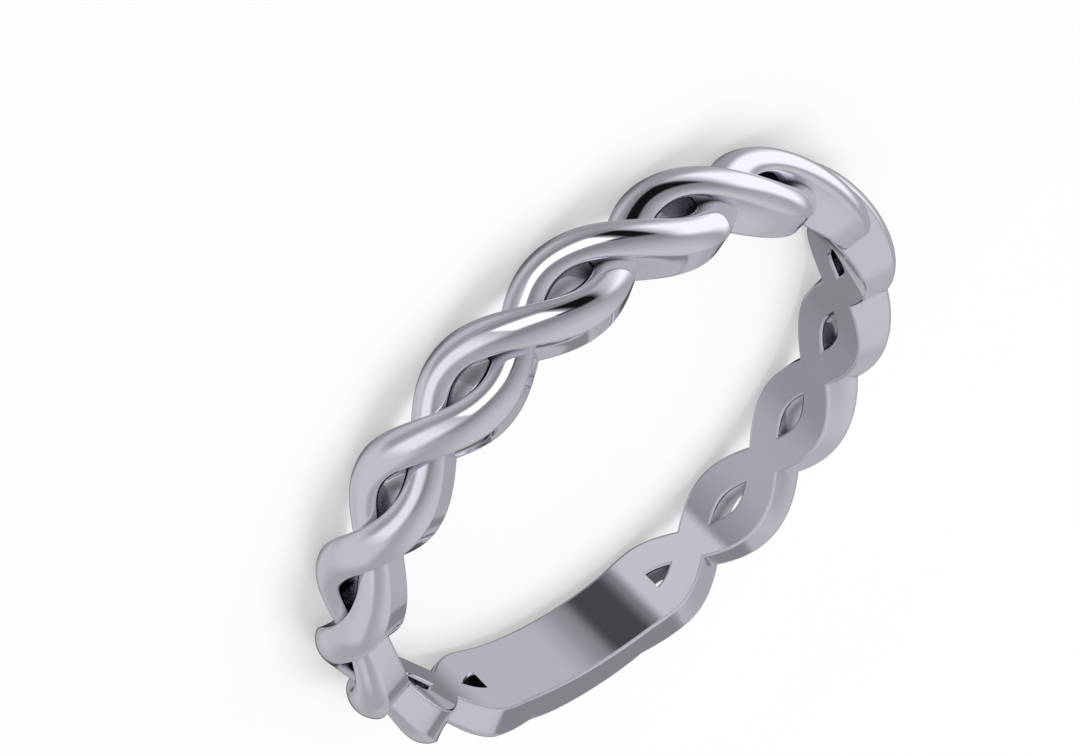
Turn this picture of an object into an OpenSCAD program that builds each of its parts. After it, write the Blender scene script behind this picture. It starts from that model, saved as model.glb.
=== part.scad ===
// Rope ring: a one-piece finger ring. Two round-topped strands swing from
// side to side and cross over and under each other, with an open lens between
// each two crossings. Both strands run into a plain, low-domed shank.
// The ring lies on its side with its axis along +Z, and the middle of the
// rope faces -Y. The finger side is one true cylinder.

/* [Ring] */
// Inner diameter, across the finger
inner_d = 17.3; // [15:0.1:22]
// Overall width of the rope, along the ring's axis
band_w = 2.88; // [2.75:0.01:3.1]

/* [Rope] */
// Whole lobes between the first and the last crossing
lobes = 13; // [10:1:15]
// Arc from the first crossing to the last, in degrees
rope_arc = 291.8; // [270:0.1:300]
// Width of a strand on the finger side
strand_w = 1.00; // [0.90:0.01:1.05]
// Widening of a strand from the finger side up to its shoulders, where both its sides face outwards
strand_flare = 0.34; // [0.20:0.01:0.36]
// Height of a strand's crown over the finger side, between crossings
crown_h = 1.35; // [1.2:0.01:1.5]
// Rise of the upper strand at a crossing, and dip of the lower one
weave = 0.26; // [0.20:0.01:0.35]
// Further dip of the lower strand
dive = 0.06; // [0:0.01:0.12]
// Radius of a strand's crown, seen along the strand
crown_round = 0.75; // [0.70:0.01:0.90]
// Radius of its shoulders
shoulder_round = 0.16; // [0.10:0.01:0.20]
// How far its walls fall back under the shoulders at a crossing
undercut = 0.08; // [0:0.01:0.12]
// Broken edge along the finger side
edge_break = 0.08; // [0.03:0.01:0.09]

/* [Shank] */
// Width of the shank at its middle
shank_w = 2.40; // [2.2:0.01:2.5]
// Thickness of the shank at its middle, on the crown of its dome
shank_t = 1.32; // [1.1:0.01:1.4]
// Drop from the crown of the dome to the shank's shoulders, at its middle
shank_dome = 0.16; // [0.05:0.01:0.30]
// The same drop where the rope begins
shank_round = 0.44; // [0.30:0.01:0.50]

/* [Hidden] */

r_in = inner_d / 2;
hw = strand_w / 2;
fl = strand_flare / 2;
swing = band_w / 2 - hw - fl;       // centre line's reach to each side
pitch = rope_arc / lobes;           // degrees per lobe
turn = 360 / pitch;                 // a full turn, counted in lobes
per_lobe = 8;                       // sections per lobe
run_in = 1;                         // lobes over which a strand sinks into the shank
sink = 0.18;                        // how far it sinks, sideways and down
deep = [0.30, 0.36, 0.42];          // stock below the finger side, bored away: strands, shank
arc_n = 2;                          // facets on each arc of a strand's top
waist_at = 0.62;                    // how far up the wall the strand is narrowest
lap = 0.04;                         // strand wall stands this far outside the shank's end
w_end = swing + hw - lap;           // half width of the shank where the rope begins
w_mid = shank_w / 2;
low_end = 0.22;                     // how much lower the shank starts, between the strands
shank_from = 0.48;                  // where the shank starts, in lobes past the outer crossing

function ease(t) = let (x = min(max(t, 0), 1)) x * x * (3 - 2 * x);

// u counts lobes from the first crossing. How far u is past an outer half lobe:
function past(u) = max(0, -0.5 - u, u - lobes - 0.5);

// Half width of the shank, p lobes in from its nearer end.
shank_half = (turn - lobes) / 2 - shank_from;
function shank_hw(p) = w_end + (w_mid - w_end) * ease(p / (0.75 * shank_half));
function shank_fl(p) = 0.45 * fl * (1 - ease(p / run_in));     // its shoulders are lower, so they reach out less
// It starts low between the strands' crowns and rounder at its shoulders.
function shank_top(p) = r_in + shank_t - low_end * (1 - ease(1.25 * p / run_in));
function shank_drop(p) = shank_round + (shank_dome - shank_round) * ease(p / run_in);

// Centre line, slope and crown of a strand. side is 1 or -1.
function clip(u) = min(max(u, -0.5), lobes + 0.5);
function along(u, side) = -side * sin(180 * clip(u));
function over(u, side) = side * cos(180 * clip(u));
function centre_z(u, side) =
    let (p = past(u), e = ease(p / run_in))
    p == 0 ? swing * along(u, side)
           : along(u, side) * (shank_hw(p) + lap * (1 - e) - sink * e - hw);
function slope(u, side) =
    past(u) > 0 ? 0 : -side * swing * cos(180 * u) * 180 / (r_in * pitch);
function crown_r(u, side) =
    let (e = ease(past(u) / run_in), c = over(u, side),
         r = r_in + crown_h + weave * c - dive * pow(min(c, 0), 2))
    r * (1 - e) + (shank_top(past(u)) - sink) * e;

function polar(r, a, z) = [r * cos(a), r * sin(a), z];
function angle_at(u) = (u - lobes / 2) * pitch - 90;

// Share of the flare on a side of the strand: 1 on the ring's outside, 0 in an opening.
function flare(a) = 0.25 + 0.5 * a + 0.25 * a * a;

// Half of a strand's top, from the crown outwards: [across, drop] pairs. A broad
// arc runs into a tight shoulder, reach away from the middle.
function strand_top(reach) =
    let (k = asin((reach - shoulder_round) / (crown_round - shoulder_round)),
         x = crown_round * sin(k), y = crown_round * (1 - cos(k)))
    concat(
        [for (i = [1 : arc_n]) let (t = k * i / arc_n)
            [crown_round * sin(t), crown_round * (1 - cos(t))]],
        [for (i = [1 : arc_n]) let (t = k + (90 - k) * i / arc_n)
            [x + shoulder_round * (sin(t) - sin(k)), y + shoulder_round * (cos(k) - cos(t))]]);

// Cross-section of a strand, square to its run: [across, radius] pairs.
// The walls flare on the ring's outside, stand straight in the openings, and
// fall back under the shoulders where the strand crosses over the other.
function strand_profile(u, side) =
    let (e = ease(past(u) / run_in), r = crown_r(u, side), a = along(u, side),
         g = deep[side > 0 ? 0 : 1], m = 2 * arc_n - 1,
         plus = strand_top(hw + fl * (1 - e) * flare(a)),
         minus = strand_top(hw + fl * (1 - e) * flare(-a)),
         cut = (1 - e) * undercut * pow(max(over(u, side), 0), 2), low = r_in + edge_break)
    concat(
        [[-(hw - edge_break - g), r_in - g], [hw - edge_break - g, r_in - g], [hw, low]],
        [[hw + waist_at * (plus[m][0] - hw) - cut, low + waist_at * (r - plus[m][1] - low)]],
        [for (i = [m : -1 : 0]) [plus[i][0], r - plus[i][1]]],
        [[0, r]],
        [for (i = [0 : m]) [-minus[i][0], r - minus[i][1]]],
        [[-hw - waist_at * (minus[m][0] - hw) + cut, low + waist_at * (r - minus[m][1] - low)]],
        [[-hw, low]]);

function strand_ring(u, side) =
    let (m = slope(u, side), l = sqrt(1 + m * m), z = centre_z(u, side))
    [for (q = strand_profile(u, side))
        polar(q[1], angle_at(u) - q[0] * m / l / r_in * 180 / PI, z + q[0] / l)];

// Cross-section of the shank: flat walls under a low dome.
function shank_ring(u) =
    let (p = min(u - lobes, turn - u) - shank_from, w = shank_hw(p), f = shank_fl(p),
         r = shank_top(p), a = angle_at(u), g = deep[2])
    concat(
        [polar(r_in - g, a, -(w - edge_break - g)), polar(r_in - g, a, w - edge_break - g),
         polar(r_in + edge_break, a, w)],
        [for (i = [0 : 10]) let (t = 18 * i, c = cos(t))
            polar(r - shank_drop(p) * (1 - pow(sin(t), 0.8)), a, (w + f) * sign(c) * pow(abs(c), 0.6))],
        [polar(r_in + edge_break, a, -w)]);

// Closed solid through a row of rings with the same number of points each.
module skin(rings) {
    n = len(rings[0]);
    m = len(rings);
    polyhedron(
        points = [for (r = rings) each r],
        faces = concat(
            [[for (i = [0 : n - 1]) i]],
            [for (j = [0 : m - 2], i = [0 : n - 1], h = [0, 1])
                let (a = j * n + i, b = j * n + (i + 1) % n)
                h == 0 ? [a, a + n, b] : [b, a + n, b + n]],
            [[for (i = [n - 1 : -1 : 0]) (m - 1) * n + i]]),
        convexity = 10);
}

module strand(side) {
    first = -0.5 - run_in;
    steps = (lobes + 1 + 2 * run_in) * per_lobe;
    skin([for (k = [0 : steps]) strand_ring(first + k / per_lobe, side)]);
}

module shank() {
    steps = 16;
    u0 = lobes + shank_from;
    u1 = turn - shank_from;
    skin([for (k = [0 : steps]) shank_ring(u0 + (u1 - u0) * k / steps)]);
}

// The whole ring: strands and shank in one, brought to its width, then bored.
module band() {
    color([0.80, 0.81, 0.84])
    translate([0, 0, band_w / 2])
    difference() {
        resize([0, 0, band_w]) {
            strand(1);
            strand(-1);
            shank();
        }
        cylinder(h = 2 * band_w, r = r_in, center = true, $fn = 180);
    }
}

band();
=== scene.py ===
import math

import bpy
import numpy as np
from mathutils import Matrix, Vector


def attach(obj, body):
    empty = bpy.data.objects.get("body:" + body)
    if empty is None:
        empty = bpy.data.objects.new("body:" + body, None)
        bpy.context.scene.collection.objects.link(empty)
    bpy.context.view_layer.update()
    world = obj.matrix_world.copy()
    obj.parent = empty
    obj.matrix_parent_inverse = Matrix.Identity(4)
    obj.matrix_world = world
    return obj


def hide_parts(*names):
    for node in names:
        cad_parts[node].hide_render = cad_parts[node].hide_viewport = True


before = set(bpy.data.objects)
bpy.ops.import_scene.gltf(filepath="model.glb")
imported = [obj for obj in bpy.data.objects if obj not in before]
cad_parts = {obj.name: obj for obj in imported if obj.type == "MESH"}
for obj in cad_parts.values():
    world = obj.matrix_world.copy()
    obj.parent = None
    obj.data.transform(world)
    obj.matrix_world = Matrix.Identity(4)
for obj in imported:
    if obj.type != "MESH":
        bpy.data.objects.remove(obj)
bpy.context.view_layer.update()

MM = 0.001

# ---------------------------------------------------------------- ring sizes
# Millimetres, the same as the frame's construction.
R_IN = 8.65            # finger side
BAND_W = 2.88          # along the ring's axis
LOBES = 13
PITCH = math.radians(291.8) / LOBES
TURN = 2 * math.pi / PITCH
HW, FL = 0.50, 0.17    # half a strand on the finger side, and its flare
SWING = BAND_W / 2 - HW - FL
CROWN, WEAVE, DIVE = 1.35, 0.26, 0.06
CROWN_R, SHOULDER, UNDERCUT = 0.75, 0.16, 0.08
ROUND_TOP = 0.44
EDGE = 0.08
SHANK_W, SHANK_T, SHANK_DOME = 2.40, 1.32, 0.16
LAP, SINK, LOW_END, RUN_IN = 0.04, 0.18, 0.22, 1.0
SHANK_FROM = 0.48
W_END = SWING + HW - LAP
SHANK_HALF = (TURN - LOBES) / 2 - SHANK_FROM

PER_LOBE = 48          # sections along each strand, per lobe
TOP_N = 7              # points on each arc of a strand's top
WALL = (0.05, 0.2, 0.4, 0.62, 0.8, 0.94)      # points up a strand's wall, as shares of it


def ease(t):
    x = np.clip(t, 0, 1)
    return x * x * (3 - 2 * x)


def angle_at(u):
    return (u - LOBES / 2) * PITCH - math.pi / 2


def past(u):
    return np.maximum(0, np.maximum(-0.5 - u, u - LOBES - 0.5))


def shank_hw(p):
    return W_END + (SHANK_W / 2 - W_END) * ease(p / (0.75 * SHANK_HALF))


def shank_fl(p):
    return 0.45 * FL * (1 - ease(p / RUN_IN))


def shank_top(p):
    return R_IN + SHANK_T - LOW_END * (1 - ease(1.25 * p / RUN_IN))


def shank_drop(p):
    return ROUND_TOP + (SHANK_DOME - ROUND_TOP) * ease(p / RUN_IN)


class Profile:
    """A closed cross-section: one column of points for each corner, and the
    smooth group of the edge that starts there (0 underside, 1 edge, 2 outside)."""

    def __init__(self, one):
        self.one, self.x, self.y, self.group = one, [], [], []

    def add(self, x, y, group):
        self.x.append(x * self.one)
        self.y.append(y * self.one)
        self.group.append(group)

    def edge(self, w, up):
        """Rounded edge between the finger side and the wall at half width w."""
        steps = [1, 2] if up else [2, 1]
        s = 1 if up else -1
        for i in steps:
            a = math.pi / 4 * (1 + i / 3)
            self.add(s * (w - EDGE * (1 - math.sin(a)) / (1 - math.sin(math.pi / 4))),
                     R_IN + EDGE * (1 - math.cos(a) / math.cos(math.pi / 4)), 1)

    def done(self):
        return np.stack(self.x, 1), np.stack(self.y, 1), self.group


def flare(a):
    """Share of the flare on a side of the strand: 1 on the ring's outside, 0 in an opening."""
    return 0.25 + 0.5 * a + 0.25 * a * a


def strand_top(r, reach, side):
    """Half of a strand's top: a broad crown arc that runs into a tight shoulder."""
    turn = np.arcsin(np.clip((reach - SHOULDER) / (CROWN_R - SHOULDER), 0.0, 1.0))
    drop_1 = CROWN_R * (1 - np.cos(turn))
    rows = []
    for i in range(1, TOP_N + 1):
        k = turn * i / TOP_N
        rows.append((CROWN_R * np.sin(k), CROWN_R * (1 - np.cos(k))))
    for i in range(1, TOP_N + 1):
        k = turn + (math.pi / 2 - turn) * i / TOP_N
        rows.append((CROWN_R * np.sin(turn) + SHOULDER * (np.sin(k) - np.sin(turn)),
                     drop_1 + SHOULDER * (np.cos(turn) - np.cos(k))))
    return [(side * x, r - y) for x, y in rows]


def strand_profile(r, along, over, e, deep):
    """Round crown and tight shoulders over walls that flare on the ring's outside,
    stand straight in the openings and fall back under the shoulders at a crossing."""
    c = Profile(np.ones_like(r))
    c.add(-(HW - EDGE - deep), R_IN - deep, 0)
    c.add(HW - EDGE - deep, R_IN - deep, 1)
    c.add(HW - EDGE, R_IN, 1)
    c.edge(HW, True)
    c.add(HW, R_IN + EDGE, 2)
    tops = {}
    for side in (1, -1):
        reach = HW + (1 - e) * FL * flare(side * along)
        tops[side] = strand_top(r, reach, side)
    cut = (1 - e) * UNDERCUT * np.maximum(over, 0) ** 2
    walls = {}      # narrowest 0.62 of the way up
    for side in (1, -1):
        x, y = tops[side][-1]
        walls[side] = [(side * HW + t * (x - side * HW) - side * cut * math.sin(math.pi * t ** 1.45),
                        R_IN + EDGE + t * (y - R_IN - EDGE)) for t in WALL]
    for x, y in walls[1] + tops[1][::-1]:
        c.add(x, y, 2)
    c.add(0.0, r, 2)
    for x, y in tops[-1] + walls[-1][::-1]:
        c.add(x, y, 2)
    c.add(-HW, R_IN + EDGE, 1)
    c.edge(HW, False)
    c.add(-(HW - EDGE), R_IN, 1)
    return c.done()


def strand_grid(side, deep):
    first = -0.5 - RUN_IN
    count = int(round((LOBES + 1 + 2 * RUN_IN) * PER_LOBE))
    u = first + np.arange(count + 1) / PER_LOBE
    p = past(u)
    e = ease(p / RUN_IN)
    along = -side * np.sin(math.pi * np.clip(u, -0.5, LOBES + 0.5))
    over = side * np.cos(math.pi * np.clip(u, -0.5, LOBES + 0.5))      # 1 over the other strand, -1 under it
    z = np.where(p == 0, SWING * along,
                 along * (shank_hw(p) + LAP * (1 - e) - SINK * e - HW))
    slope = np.where(p > 0, 0.0, -side * SWING * math.pi * np.cos(math.pi * u) / (R_IN * PITCH))
    length = np.sqrt(1 + slope * slope)
    r = R_IN + CROWN + WEAVE * over - DIVE * np.minimum(over, 0) ** 2
    r = r * (1 - e) + (shank_top(p) - SINK) * e
    across, rad, group = strand_profile(r, along, over, e, deep)
    a = angle_at(u)[:, None] - across * (slope / length)[:, None] / R_IN
    return np.stack([rad * np.cos(a), rad * np.sin(a), z[:, None] + across / length[:, None]], -1), group


def shank_grid(deep, sections=96, top_n=16):
    u = np.linspace(LOBES + SHANK_FROM, TURN - SHANK_FROM, sections + 1)
    p = np.minimum(u - LOBES, TURN - u) - SHANK_FROM
    w, f, r, drop = shank_hw(p), shank_fl(p), shank_top(p), shank_drop(p)
    c = Profile(np.ones_like(w))
    c.add(-(w - EDGE - deep), R_IN - deep, 0)
    c.add(w - EDGE - deep, R_IN - deep, 1)
    c.add(w - EDGE, R_IN, 1)
    c.edge(w, True)
    c.add(w, R_IN + EDGE, 2)
    wall = r - drop - R_IN - EDGE
    for t in (0.05, 0.5, 0.95):
        c.add(w + t * f, R_IN + EDGE + t * wall, 2)
    for t in np.linspace(0, math.pi, 2 * top_n + 1):
        k, s = math.cos(t), max(math.sin(t), 0.0)
        x = math.copysign(abs(k) ** 0.6, k) if abs(k) > 1e-9 else 0.0
        c.add((w + f) * x, r - drop * (1 - s ** 0.8), 2)
    for t in (0.95, 0.5, 0.05):
        c.add(-w - t * f, R_IN + EDGE + t * wall, 2)
    c.add(-w, R_IN + EDGE, 1)
    c.edge(w, False)
    c.add(-(w - EDGE), R_IN, 1)
    z, rad, group = c.done()
    a = angle_at(u)[:, None] + 0 * z
    return np.stack([rad * np.cos(a), rad * np.sin(a), z], -1), group


def skin(grid, group):
    """Quads over a grid of sections, and the smooth normal at each face corner."""
    n, m = grid.shape[:2]
    index = np.arange(n * m).reshape(n, m)
    run = np.gradient(grid, axis=0)
    seg = np.roll(grid, -1, axis=1) - grid
    size = np.linalg.norm(seg, axis=2, keepdims=True)
    before, size_b = np.roll(seg, 1, axis=1), np.roll(size, 1, axis=1)
    mean = seg / np.maximum(size, 1e-9) * size_b + before / np.maximum(size_b, 1e-9) * size
    g = np.array(group)
    gb = np.roll(g, 1)
    smooth = ((g == gb) | ((g == 2) & (gb == 1)) | ((g == 1) & (gb == 2)))[None, :, None]

    def normal(t):
        v = np.cross(t, run)
        return v / np.maximum(np.linalg.norm(v, axis=2, keepdims=True), 1e-12)

    after, ahead = normal(np.where(smooth, mean, seg)), normal(np.where(smooth, mean, before))
    quads, normals = [], []
    for j in range(m):
        k = (j + 1) % m
        quads.append(np.stack([index[:-1, j], index[:-1, k], index[1:, k], index[1:, j]], 1))
        normals.append(np.stack([after[:-1, j], ahead[:-1, k], ahead[1:, k], after[1:, j]], 1))
    caps = [list(index[0, ::-1]), list(index[-1, :])]
    return grid.reshape(-1, 3), np.concatenate(quads), np.concatenate(normals), caps


def body(name, parts, tag, slots):
    """Mesh object whose corner normals travel with it through the booleans."""
    verts, quads, normals, caps = parts
    mesh = bpy.data.meshes.new(name)
    faces = [tuple(int(i) for i in q) for q in quads] + [tuple(int(i) for i in c) for c in caps]
    mesh.from_pydata([tuple(v) for v in verts], [], faces)
    mesh.update()
    corner = np.zeros((len(mesh.loops), 3))
    corner[:len(quads) * 4] = normals.reshape(-1, 3)
    for poly in mesh.polygons[len(quads):]:
        for i in poly.loop_indices:
            corner[i] = poly.normal
    mesh.attributes.new("shade", "FLOAT_VECTOR", "CORNER").data.foreach_set("vector", corner.ravel())
    for s in slots:
        mesh.materials.append(s)
    mesh.polygons.foreach_set("material_index", [tag] * len(mesh.polygons))
    ob = bpy.data.objects.new(name, mesh)
    bpy.context.scene.collection.objects.link(ob)
    return ob


def bore_cutter(segments=1440, half=3.0):
    a = np.arange(segments) * 2 * math.pi / segments
    ring = np.stack([np.cos(a), np.sin(a)], 1) * R_IN
    verts = np.concatenate([np.c_[ring, np.full(segments, -half)], np.c_[ring, np.full(segments, half)]])
    i = np.arange(segments)
    j = (i + 1) % segments
    quads = np.stack([i, j, j + segments, i + segments], 1)
    normals = np.stack([-verts[quads[:, k]] * [1, 1, 0] / R_IN for k in range(4)], 1)
    caps = [list(range(segments - 1, -1, -1)), list(range(segments, 2 * segments))]
    return verts, quads, normals, caps


def make_band():
    slots = [bpy.data.materials.new("tag_%d" % i) for i in range(4)]
    over = body("over", skin(*strand_grid(1, 0.30)), 0, slots)
    under = body("under", skin(*strand_grid(-1, 0.36)), 1, slots)
    shank = body("shank", skin(*shank_grid(0.42)), 2, slots)
    bore = body("bore", bore_cutter(), 3, slots)
    for other, what in ((under, "UNION"), (shank, "UNION"), (bore, "DIFFERENCE")):
        cut = over.modifiers.new("join", "BOOLEAN")
        cut.operation, cut.object, cut.solver = what, other, "MANIFOLD"
    graph = bpy.context.evaluated_depsgraph_get()
    mesh = bpy.data.meshes.new_from_object(over.evaluated_get(graph))
    for o in (over, under, shank, bore):
        bpy.data.objects.remove(o)

    loops, polys = len(mesh.loops), len(mesh.polygons)
    normal = np.zeros(loops * 3)
    mesh.attributes["shade"].data.foreach_get("vector", normal)
    normal = normal.reshape(-1, 3)
    tag, corner_of = np.zeros(polys, int), np.zeros(loops, int)
    total, flat = np.zeros(polys, int), np.zeros(polys * 3)
    mesh.polygons.foreach_get("material_index", tag)
    mesh.polygons.foreach_get("loop_total", total)
    mesh.polygons.foreach_get("normal", flat)
    mesh.loops.foreach_get("vertex_index", corner_of)
    co = np.zeros(len(mesh.vertices) * 3)
    mesh.vertices.foreach_get("co", co)
    co = co.reshape(-1, 3)
    face_of = np.repeat(np.arange(polys), total)
    # the finger side shades as the true cylinder
    radial = -co[corner_of] * [1, 1, 0]
    radial /= np.maximum(np.linalg.norm(radial, axis=1, keepdims=True), 1e-9)
    inside = tag[face_of] == 3
    normal[inside] = radial[inside]
    length = np.linalg.norm(normal, axis=1, keepdims=True)
    normal = np.where(length < 0.3, flat.reshape(-1, 3)[face_of], normal / np.maximum(length, 1e-9))

    co = (co + [0, 0, BAND_W / 2]) * MM
    mesh.vertices.foreach_set("co", co.ravel())
    mesh.attributes.remove(mesh.attributes["shade"])
    mesh.materials.clear()
    mesh.polygons.foreach_set("material_index", [0] * polys)
    mesh.update()
    mesh.polygons.foreach_set("use_smooth", [True] * polys)
    mesh.normals_split_custom_set([tuple(v) for v in normal])
    for s in slots:
        bpy.data.materials.remove(s)
    ob = bpy.data.objects.new("rope_band", mesh)
    bpy.context.scene.collection.objects.link(ob)
    return ob


# ---------------------------------------------------------------- node helpers
class Tree:
    def __init__(self, tree):
        self.tree = tree
        tree.nodes.clear()

    def node(self, kind, **props):
        n = self.tree.nodes.new(kind)
        for k, v in props.items():
            setattr(n, k, v)
        return n

    def put(self, value, socket):
        if isinstance(value, bpy.types.NodeSocket):
            self.tree.links.new(value, socket)
        else:
            socket.default_value = value

    def math(self, op, *values, clamp=False):
        n = self.node("ShaderNodeMath", operation=op, use_clamp=clamp)
        for v, s in zip(values, n.inputs):
            self.put(v, s)
        return n.outputs[0]

    def ramp(self, value, a, b, x=0.0, y=1.0):
        n = self.node("ShaderNodeMapRange", interpolation_type="SMOOTHSTEP")
        for v, s in zip((value, a, b, x, y), n.inputs):
            self.put(v, s)
        return n.outputs[0]

    def mix(self, fac, a, b, kind="FLOAT"):
        n = self.node("ShaderNodeMix", data_type=kind)
        i = {"FLOAT": (2, 3, 0), "RGBA": (6, 7, 2)}[kind]
        self.put(fac, n.inputs[0])
        self.put(a, n.inputs[i[0]])
        self.put(b, n.inputs[i[1]])
        return n.outputs[i[2]]


# ---------------------------------------------------------------- white gold
def white_gold():
    mat = bpy.data.materials.new("white_gold")
    mat.use_nodes = True
    t = Tree(mat.node_tree)
    out = t.node("ShaderNodeOutputMaterial")
    metal = t.node("ShaderNodeBsdfPrincipled")
    metal.inputs["Metallic"].default_value = 1.0
    metal.inputs["Specular Tint"].default_value = (1.0, 1.0, 1.0, 1.0)
    t.tree.links.new(metal.outputs[0], out.inputs[0])

    where = t.node("ShaderNodeTexCoord").outputs["Object"]
    xyz = t.node("ShaderNodeSeparateXYZ")
    t.put(where, xyz.inputs[0])
    x, y, z = xyz.outputs
    # polishing runs round the band: coordinates along it, across it and out from it, in mm
    round_ = t.math("MULTIPLY", t.math("ARCTAN2", y, x), R_IN)
    out_ = t.math("MULTIPLY", t.math("SQRT", t.math("ADD", t.math("MULTIPLY", x, x), t.math("MULTIPLY", y, y))), 1000.0)
    across = t.math("MULTIPLY", z, 1000.0)

    def coords(a, b, c):
        n = t.node("ShaderNodeCombineXYZ")
        for v, s, k in ((round_, n.inputs[0], a), (across, n.inputs[1], b), (out_, n.inputs[2], c)):
            t.put(t.math("MULTIPLY", v, k), s)
        return n.outputs[0]

    def noise(vector, scale, detail=2.0, rough=0.5):
        n = t.node("ShaderNodeTexNoise")
        t.put(vector, n.inputs["Vector"])
        n.inputs["Scale"].default_value = scale
        n.inputs["Detail"].default_value = detail
        n.inputs["Roughness"].default_value = rough
        return n.outputs["Fac"]

    lines = noise(coords(1.2, 26.0, 26.0), 1.0, 3.0, 0.6)       # hair-fine polishing lines
    cloud = noise(coords(1.0, 1.0, 1.0), 1.1, 2.0, 0.5)         # broad haze of the polish
    swell = noise(coords(0.35, 0.9, 0.9), 1.0, 1.0, 0.4)        # the hand-polished surface isn't quite true

    hollow = t.node("ShaderNodeAmbientOcclusion", samples=12)
    hollow.inputs["Distance"].default_value = 0.80 * MM
    deep = t.ramp(hollow.outputs["AO"], 0.50, 0.22)              # seams and hollows: rougher where the polishing wheel can't reach, and darkened there as painted shade

    rough = t.math("ADD", t.ramp(cloud, 0.3, 0.7, 0.032, 0.058), t.ramp(lines, 0.45, 0.75, 0.0, 0.030))
    t.put(t.mix(deep, rough, 0.22), metal.inputs["Roughness"])

    unshaded_tone = t.mix(t.ramp(cloud, 0.3, 0.7), (0.800, 0.797, 0.852, 1), (0.782, 0.781, 0.838, 1), "RGBA")
    # painted shade: the base colour is darkened towards near-black in seams and hollows, where shade falls
    t.put(t.mix(t.math("MULTIPLY", deep, 0.9), unshaded_tone, (0.06, 0.06, 0.075, 1), "RGBA"), metal.inputs["Base Color"])

    bump = t.node("ShaderNodeBump")
    bump.inputs["Strength"].default_value = 1.0
    bump.inputs["Distance"].default_value = 0.001 * MM
    t.put(t.math("ADD", t.math("MULTIPLY", swell, 1.6), t.math("MULTIPLY", lines, 0.05)), bump.inputs["Height"])
    t.put(bump.outputs[0], metal.inputs["Normal"])
    return mat


# ---------------------------------------------------------------- the piece
band = make_band()
band.data.materials.append(white_gold())
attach(band, "root")
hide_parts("band")

# ---------------------------------------------------------------- camera
cam_data = bpy.data.cameras.new("camera")
cam_data.sensor_fit = "HORIZONTAL"
cam_data.sensor_width = 36.0
cam_data.lens = 132.64
cam_data.clip_start, cam_data.clip_end = 0.002, 10.0
camera = bpy.data.objects.new("camera", cam_data)
bpy.context.scene.collection.objects.link(camera)
camera.matrix_world = Matrix((
    (-0.746285, -0.398433, 0.533207, 0.0607924),
    (-0.156604, -0.673475, -0.722431, -0.0825609),
    (0.646942, -0.622642, 0.440208, 0.0484206),
    (0, 0, 0, 1)))
bpy.context.scene.camera = camera
CAM_AZ, CAM_EL = 306.4, 24.6    # where the camera stands, seen from the ring


# ---------------------------------------------------------------- floor
def floor_material():
    mat = bpy.data.materials.new("paper")
    mat.use_nodes = True
    t = Tree(mat.node_tree)
    out = t.node("ShaderNodeOutputMaterial")
    matte = t.node("ShaderNodeBsdfPrincipled")
    matte.inputs["Roughness"].default_value = 0.9
    matte.inputs["Specular IOR Level"].default_value = 0.1
    matte.inputs["Emission Color"].default_value = (1.0, 1.0, 1.0, 1.0)
    matte.inputs["Emission Strength"].default_value = 0.50
    t.tree.links.new(matte.outputs[0], out.inputs[0])
    n = t.node("ShaderNodeTexNoise")
    t.put(t.node("ShaderNodeTexCoord").outputs["Object"], n.inputs["Vector"])
    n.inputs["Scale"].default_value = 60.0
    t.put(t.mix(n.outputs["Fac"], (0.45, 0.45, 0.455, 1), (0.47, 0.47, 0.475, 1), "RGBA"), matte.inputs["Base Color"])
    return mat


bpy.ops.mesh.primitive_circle_add(vertices=96, radius=1.2, fill_type="NGON", location=(0, 0, 0))
floor = bpy.context.object
floor.name = "floor"
floor.data.materials.append(floor_material())
floor.visible_glossy = False


def gel_material():
    """Thin grey film: what shines up through it is dimmed."""
    mat = bpy.data.materials.new("grey_film")
    mat.use_nodes = True
    t = Tree(mat.node_tree)
    out = t.node("ShaderNodeOutputMaterial")
    film = t.node("ShaderNodeBsdfTransparent")
    film.inputs[0].default_value = (0.42, 0.42, 0.42, 1)
    haze = t.node("ShaderNodeEmission")
    haze.inputs[0].default_value = (0.07, 0.07, 0.075, 1)
    both = t.node("ShaderNodeAddShader")
    t.tree.links.new(film.outputs[0], both.inputs[0])
    t.tree.links.new(haze.outputs[0], both.inputs[1])
    t.tree.links.new(both.outputs[0], out.inputs[0])
    return mat


# a grey film under the hole, seen only in the metal, keeps the finger side from glaring
bpy.ops.mesh.primitive_circle_add(vertices=96, radius=8.6 * MM, fill_type="NGON", location=(0, 0, -0.0002))
film = bpy.context.object
film.name = "grey_film"
film.data.materials.append(gel_material())
film.visible_camera = film.visible_diffuse = film.visible_transmission = False
film.visible_volume_scatter = film.visible_shadow = False


def card_material(level):
    """Grey card with soft edges."""
    mat = bpy.data.materials.new("grey_card")
    mat.use_nodes = True
    t = Tree(mat.node_tree)
    out = t.node("ShaderNodeOutputMaterial")
    xyz = t.node("ShaderNodeSeparateXYZ")
    t.put(t.node("ShaderNodeTexCoord").outputs["Object"], xyz.inputs[0])
    across = t.math("MULTIPLY", t.ramp(xyz.outputs[0], -1.0, -0.70), t.ramp(xyz.outputs[0], 1.0, 0.29))
    up = t.math("MULTIPLY", t.ramp(xyz.outputs[1], -1.0, -0.80), t.ramp(xyz.outputs[1], 1.0, 0.26))
    grey = t.node("ShaderNodeEmission")
    grey.inputs[0].default_value = (level, level * 0.996, level * 1.035, 1)
    both = t.node("ShaderNodeMixShader")
    t.put(t.math("MULTIPLY", across, up), both.inputs[0])
    t.tree.links.new(t.node("ShaderNodeBsdfTransparent").outputs[0], both.inputs[1])
    t.tree.links.new(grey.outputs[0], both.inputs[2])
    t.tree.links.new(both.outputs[0], out.inputs[0])
    return mat


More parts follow.
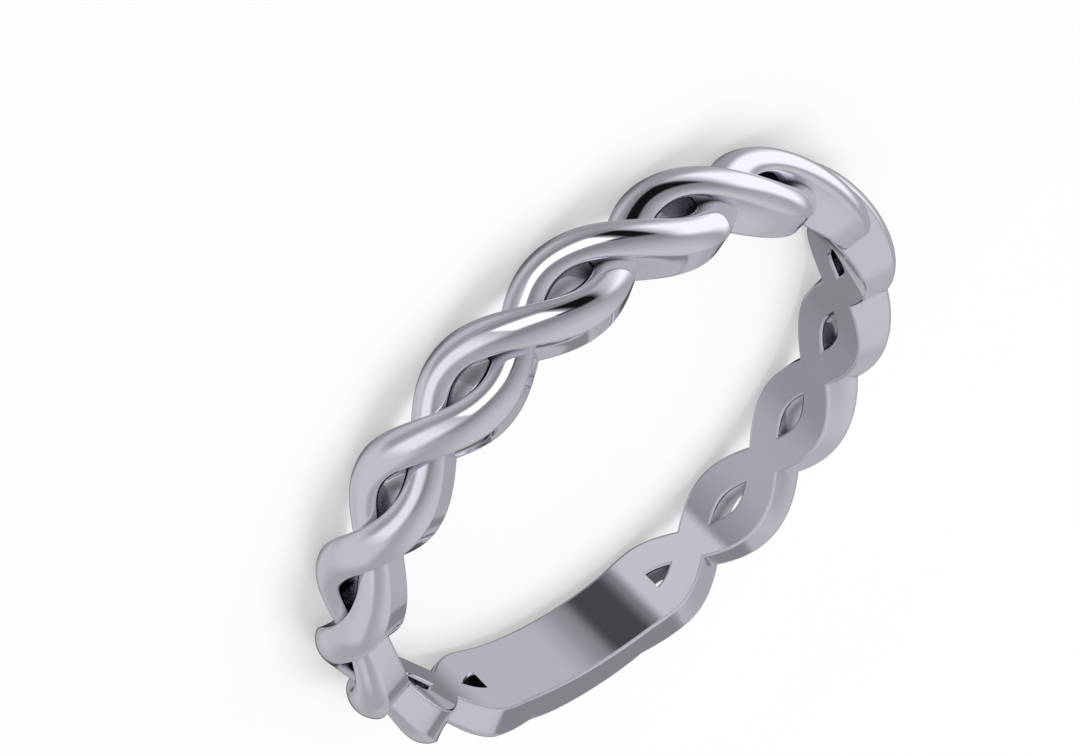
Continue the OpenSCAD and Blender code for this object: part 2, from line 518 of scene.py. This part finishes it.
# a standing grey card behind the shank, seen only in the metal, shades the shank's side wall
bpy.ops.mesh.primitive_plane_add(size=2)
card = bpy.context.object
card.name = "grey_card"
away = math.radians(CAM_AZ + 180)
fore, wide = Vector((math.cos(away), math.sin(away), 0)), Vector((math.sin(away), -math.cos(away), 0))
card.matrix_world = (Matrix.Translation(fore * 0.016 + wide * 0.00585 + Vector((0, 0, 0.01045)))
                     @ Matrix((wide, (0, 0, 1), -fore)).transposed().to_4x4()
                     @ Matrix.Diagonal((0.00465, 0.00605, 1, 1)))
card.data.materials.append(card_material(0.28))
card.visible_camera = card.visible_diffuse = card.visible_transmission = False
card.visible_volume_scatter = card.visible_shadow = False


# ---------------------------------------------------------------- light
def studio():
    """Plain soft studio: a grey tent, with soft boxes and dark cards round the ring.
    Each row: name, centre azimuth from the camera's, half width, centre elevation,
    half height, soft edge across and up, all in degrees, and brightness."""
    cards = [
        ("top", 0, 200, 90, 48, 1, 24, 0.65),
        ("low", 0, 200, -90, 42, 1, 14, 0.36),
        ("below", 20, 92, -76, 15, 30, 9, 0.58),
        ("front_shade", -20, 50, 7, 12, 16, 12, 0.29),
        ("white_left", -100, 33, -11, 24, 12, 9, 1.16),
        ("pale_front", 42, 30, -18, 18, 20, 8, 0.96),
        ("pale_right", 84, 24, -28, 38, 12, 8, 0.66),
        ("pale_low", 122, 26, -45, 22, 12, 12, 0.60),
        ("low_shade", -30, 34, -42, 5, 12, 5, 0.27),
        ("black_card", -47, 9.5, -17, 18.5, 3.5, 5, 0.008),
        ("soft_box", -14.5, 18.5, -17.5, 13.5, 2.5, 3, 1.42),
        ("black_strip", -32, 6, -2.5, 3.2, 3, 2.5, 0.05),
        ("back_pale", 158, 18, 22, 24, 6, 12, 0.53),
    ]
    world = bpy.data.worlds.new("studio")
    bpy.context.scene.world = world
    world.use_nodes = True
    t = Tree(world.node_tree)
    xyz = t.node("ShaderNodeSeparateXYZ")
    t.put(t.node("ShaderNodeTexCoord").outputs["Generated"], xyz.inputs[0])
    x, y, z = xyz.outputs
    a = math.radians(CAM_AZ)
    front = t.math("ADD", t.math("MULTIPLY", x, math.cos(a)), t.math("MULTIPLY", y, math.sin(a)))
    left = t.math("ADD", t.math("MULTIPLY", x, -math.sin(a)), t.math("MULTIPLY", y, math.cos(a)))
    az = t.math("MULTIPLY", t.math("ARCTAN2", left, front), 180 / math.pi)
    el = t.math("MULTIPLY", t.math("ARCSINE", z), 180 / math.pi)
    level = 0.45
    for name, ca, ha, ce, he, sa, se, value in cards:
        off_az = t.math("ABSOLUTE", t.math("WRAP", t.math("SUBTRACT", az, ca), 180.0, -180.0))
        off_el = t.math("ABSOLUTE", t.math("SUBTRACT", el, ce))
        mask = t.math("MULTIPLY", t.ramp(off_az, ha + sa, ha - sa), t.ramp(off_el, he + se, he - se))
        level = t.mix(mask, level, value)
    # darker behind the ring, so that its outlines turn dark
    e = math.radians(CAM_EL)
    behind = t.math("SUBTRACT", t.math("MULTIPLY", front, -math.cos(e)), t.math("MULTIPLY", z, math.sin(e)))
    level = t.mix(t.ramp(behind, math.cos(math.radians(22)), math.cos(math.radians(5))), level, 0.01)
    tone = t.node("ShaderNodeCombineColor")
    t.put(level, tone.inputs[0])
    t.put(t.math("MULTIPLY", level, 0.996), tone.inputs[1])
    t.put(t.math("MULTIPLY", level, 1.035), tone.inputs[2])
    lit = t.node("ShaderNodeBackground")
    t.put(tone.outputs[0], lit.inputs[0])
    pale = t.node("ShaderNodeBackground")
    pale.inputs[0].default_value = (0.86, 0.86, 0.87, 1)
    seen = t.node("ShaderNodeMixShader")
    t.put(t.node("ShaderNodeLightPath").outputs["Is Camera Ray"], seen.inputs[0])
    t.tree.links.new(lit.outputs[0], seen.inputs[1])
    t.tree.links.new(pale.outputs[0], seen.inputs[2])
    out = t.node("ShaderNodeOutputWorld")
    t.tree.links.new(seen.outputs[0], out.inputs[0])


def area(name, where, size, power):
    """A broad soft light that lifts the floor; the metal doesn't mirror it."""
    data = bpy.data.lights.new(name, "AREA")
    data.shape, data.size, data.energy = "DISK", size, power
    ob = bpy.data.objects.new(name, data)
    bpy.context.scene.collection.objects.link(ob)
    ob.location = where
    ob.rotation_euler = (-Matrix.Translation(where).translation).to_track_quat("-Z", "Y").to_euler()
    ob.visible_glossy = False
    ob.visible_camera = False
    return ob


studio()
area("overhead", (-0.10, 0.12, 0.50), 0.45, 1.7)

bpy.context.scene.view_settings.view_transform = "Standard"
bpy.context.scene.view_settings.look = "None"
